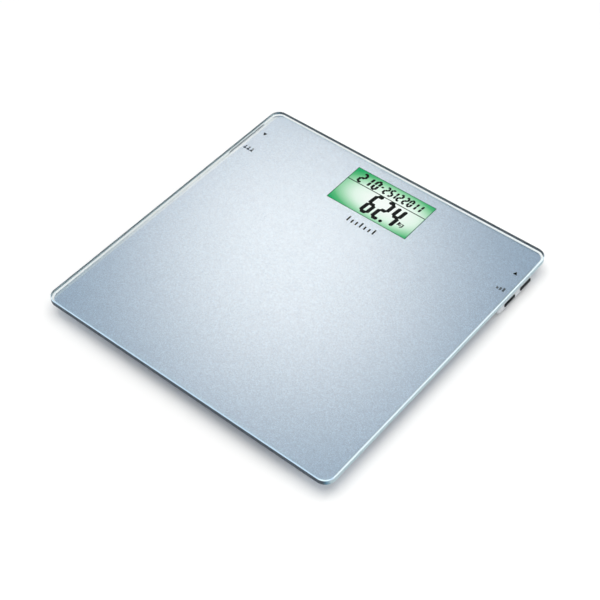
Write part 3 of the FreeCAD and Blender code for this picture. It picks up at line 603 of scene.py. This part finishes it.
def load_cell(place, steel, resin):
    """The stamped cell split into a frame and a tongue, the tongue cut across its bend, and the gauge on the
    tongue.
    """
    node, foot = "load_cell_" + place, "foot_" + place
    low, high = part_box(node)
    x, y, z = ((a + b) / 2 for a, b in zip(low, high))
    side = 1 if y < 0 else -1
    start, end = (x, y + side * BEND_START, z), (x, y + side * BEND_END, z)
    cuts = [start[1] + (end[1] - start[1]) * i / BEND_CUTS for i in range(BEND_CUTS + 1)]

    def in_tongue(point):
        inward = side * (point.y - y)
        return abs(point.x - x) < SLOT_MID_X and -SLOT_MID_Y < inward < BEND_START - CUT_MARGIN

    def in_frame(point):
        return not in_tongue(point)

    def near(point):
        return abs(point.x - x) < GAUGE_REACH and abs(point.y - y) < GAUGE_REACH

    frame_mesh, tongue_mesh = part_of(node, cuts[:1], in_frame), part_of(node, cuts, in_tongue)
    gauge_mesh = part_of("strain_gauges", cuts, near)
    frame_piece = new_piece("cell_frame_" + place, frame_mesh, "platform", steel)
    tongue = bending_piece("cell_tongue_" + place, tongue_mesh, steel)
    gauge = bending_piece("strain_gauge_" + place, gauge_mesh, resin)
    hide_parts(node)
    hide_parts(node)
    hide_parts("strain_gauges")


# ---- studio --------------------------------------------------------------------------------
SKY_GLOSS = 0.45                # share of the sky that plain mirror reflections see, as from a darker ceiling
SKY_LOW, SKY_HIGH = (0.26, 0.265, 0.275), (0.635, 0.64, 0.655)
GLOW_CENTRE = Vector((-0.018, 0.012, GLASS_HIGH.z))     # where on the plate the panel's middle is mirrored
GLOW_AWAY, GLOW_HALF, GLOW_CORE, GLOW_RIM = 1.0, 1.1, 0.02, 0.42
GLOW_COLOUR = (2.68, 2.08, 1.69)
FLOOR_HALF = 3.0


def square_mesh(name, half):
    mesh = bpy.data.meshes.new(name)
    corners = [(-half, -half, 0), (half, -half, 0), (half, half, 0), (-half, half, 0)]
    mesh.from_pydata(corners, [], [(0, 1, 2, 3)])
    return mesh


def area_light(name, place, size, power, colour):
    data = bpy.data.lights.new(name, "AREA")
    data.shape, data.size, data.energy, data.color = "SQUARE", size, power, colour
    lamp = bpy.data.objects.new(name, data)
    lamp.location = place
    lamp.rotation_mode = "QUATERNION"
    lamp.rotation_quaternion = (-Vector(place)).to_track_quat("-Z", "Y")
    bpy.context.scene.collection.objects.link(lamp)
    return lamp


def glow_panel():
    """Soft round light opposite the camera, clear at its rim, which only the print under the glass shows."""
    mirrored_eye = Vector((CAMERA_PLACE.x, CAMERA_PLACE.y, 2 * GLASS_HIGH.z - CAMERA_PLACE.z))
    toward = (GLOW_CENTRE - mirrored_eye).normalized()
    mesh = square_mesh("glow_panel", GLOW_HALF)
    panel = bpy.data.objects.new("glow_panel", mesh)
    panel.rotation_mode = "QUATERNION"
    panel.rotation_quaternion = toward.to_track_quat("-Z", "Y")
    panel.location = GLOW_CENTRE + toward * GLOW_AWAY
    bpy.context.scene.collection.objects.link(panel)
    material = bpy.data.materials.new("glow_panel")
    material.use_nodes = True
    tree = material.node_tree
    tree.nodes.clear()
    coords = tree.nodes.new("ShaderNodeTexCoord")
    length = tree.nodes.new("ShaderNodeVectorMath")
    length.operation = "LENGTH"
    fall = tree.nodes.new("ShaderNodeMapRange")
    fall.interpolation_type = "SMOOTHERSTEP"
    for key, value in (("From Min", GLOW_CORE), ("From Max", GLOW_RIM), ("To Min", 1.0), ("To Max", 0.0)):
        fall.inputs[key].default_value = value
    emission = tree.nodes.new("ShaderNodeEmission")
    emission.inputs["Color"].default_value = (*GLOW_COLOUR, 1.0)
    clear = tree.nodes.new("ShaderNodeBsdfTransparent")
    blend = tree.nodes.new("ShaderNodeMixShader")
    output = tree.nodes.new("ShaderNodeOutputMaterial")
    tree.links.new(coords.outputs["Object"], length.inputs[0])
    tree.links.new(length.outputs["Value"], fall.inputs["Value"])
    tree.links.new(fall.outputs[0], blend.inputs[0])
    tree.links.new(clear.outputs[0], blend.inputs[1])
    tree.links.new(emission.outputs[0], blend.inputs[2])
    tree.links.new(blend.outputs[0], output.inputs["Surface"])
    mesh.materials.append(material)
    for flag in ("visible_camera", "visible_diffuse", "visible_glossy", "visible_shadow"):
        setattr(panel, flag, False)


def make_floor():
    mesh = square_mesh("floor", FLOOR_HALF)
    floor = bpy.data.objects.new("floor", mesh)
    bpy.context.scene.collection.objects.link(floor)
    shade = Shade("floor", roughness=0.9, base_color=(0.90, 0.90, 0.89))
    mesh.materials.append(shade.material)


def make_world():
    """Pale sky, darker towards the horizon, and darker still for rays that only mirror it."""
    world = bpy.data.worlds.new("studio")
    bpy.context.scene.world = world
    world.use_nodes = True
    tree = world.node_tree
    background = tree.nodes["Background"]
    split = tree.nodes.new("ShaderNodeSeparateXYZ")
    tree.links.new(tree.nodes.new("ShaderNodeTexCoord").outputs["Generated"], split.inputs[0])
    sky = tree.nodes.new("ShaderNodeValToRGB")
    for element, height, colour in zip(sky.color_ramp.elements, (0.02, 0.55), (SKY_LOW, SKY_HIGH)):
        element.position, element.color = height, (*colour, 1.0)
    tree.links.new(split.outputs["Z"], sky.inputs[0])
    tree.links.new(sky.outputs[0], background.inputs["Color"])
    path = tree.nodes.new("ShaderNodeLightPath")
    mirrored = tree.nodes.new("ShaderNodeMath")
    mirrored.operation, mirrored.use_clamp = "SUBTRACT", True
    tree.links.new(path.outputs["Is Glossy Ray"], mirrored.inputs[0])
    tree.links.new(path.outputs["Is Transmission Ray"], mirrored.inputs[1])
    strength = tree.nodes.new("ShaderNodeMath")
    strength.operation = "MULTIPLY_ADD"
    strength.inputs[1].default_value, strength.inputs[2].default_value = SKY_GLOSS - 1.0, 1.0
    tree.links.new(mirrored.outputs[0], strength.inputs[0])
    tree.links.new(strength.outputs[0], background.inputs["Strength"])


def make_lights():
    lamps = (area_light("overhead", (0.1, -0.15, 2.2), 2.0, 36, (1.0, 0.99, 0.975)),
             area_light("side", (2.2, 0.2, 0.7), 0.8, 8, (1.0, 0.99, 0.98)))
    for lamp in lamps:
        lamp.visible_glossy = False
        lamp.visible_transmission = False


# ---- assembly ------------------------------------------------------------------------------
make_camera()
made = paint_cad_nodes()
ink = moulded("display_ink", (0.003, 0.006, 0.004), 0.9, tone=0.2, specular_ior_level=0.0)
rule_ink = moulded("rule_ink", (0.010, 0.06, 0.032), 0.9, specular_ior_level=0.0)
print_ink = moulded("print_ink", (0.006, 0.008, 0.012), 0.9, tone=0.15, specular_ior_level=0.0)
soft_ink = moulded("soft_ink", (0.13, 0.17, 0.21), 0.4)
glass_plate(made["clear_glass"], ground_arris(), ground_edge())
display_face(made["display"])
display_figures(ink)
unit_mark(ink)
display_rule(rule_ink)
printed_marks(print_ink, soft_ink)
for place in CELL_PLACES:
    load_cell(place, made["cell_steel"], made["white_resin"])
make_world()
make_floor()
make_lights()
glow_panel()
bpy.context.scene.view_settings.view_transform = "Standard"
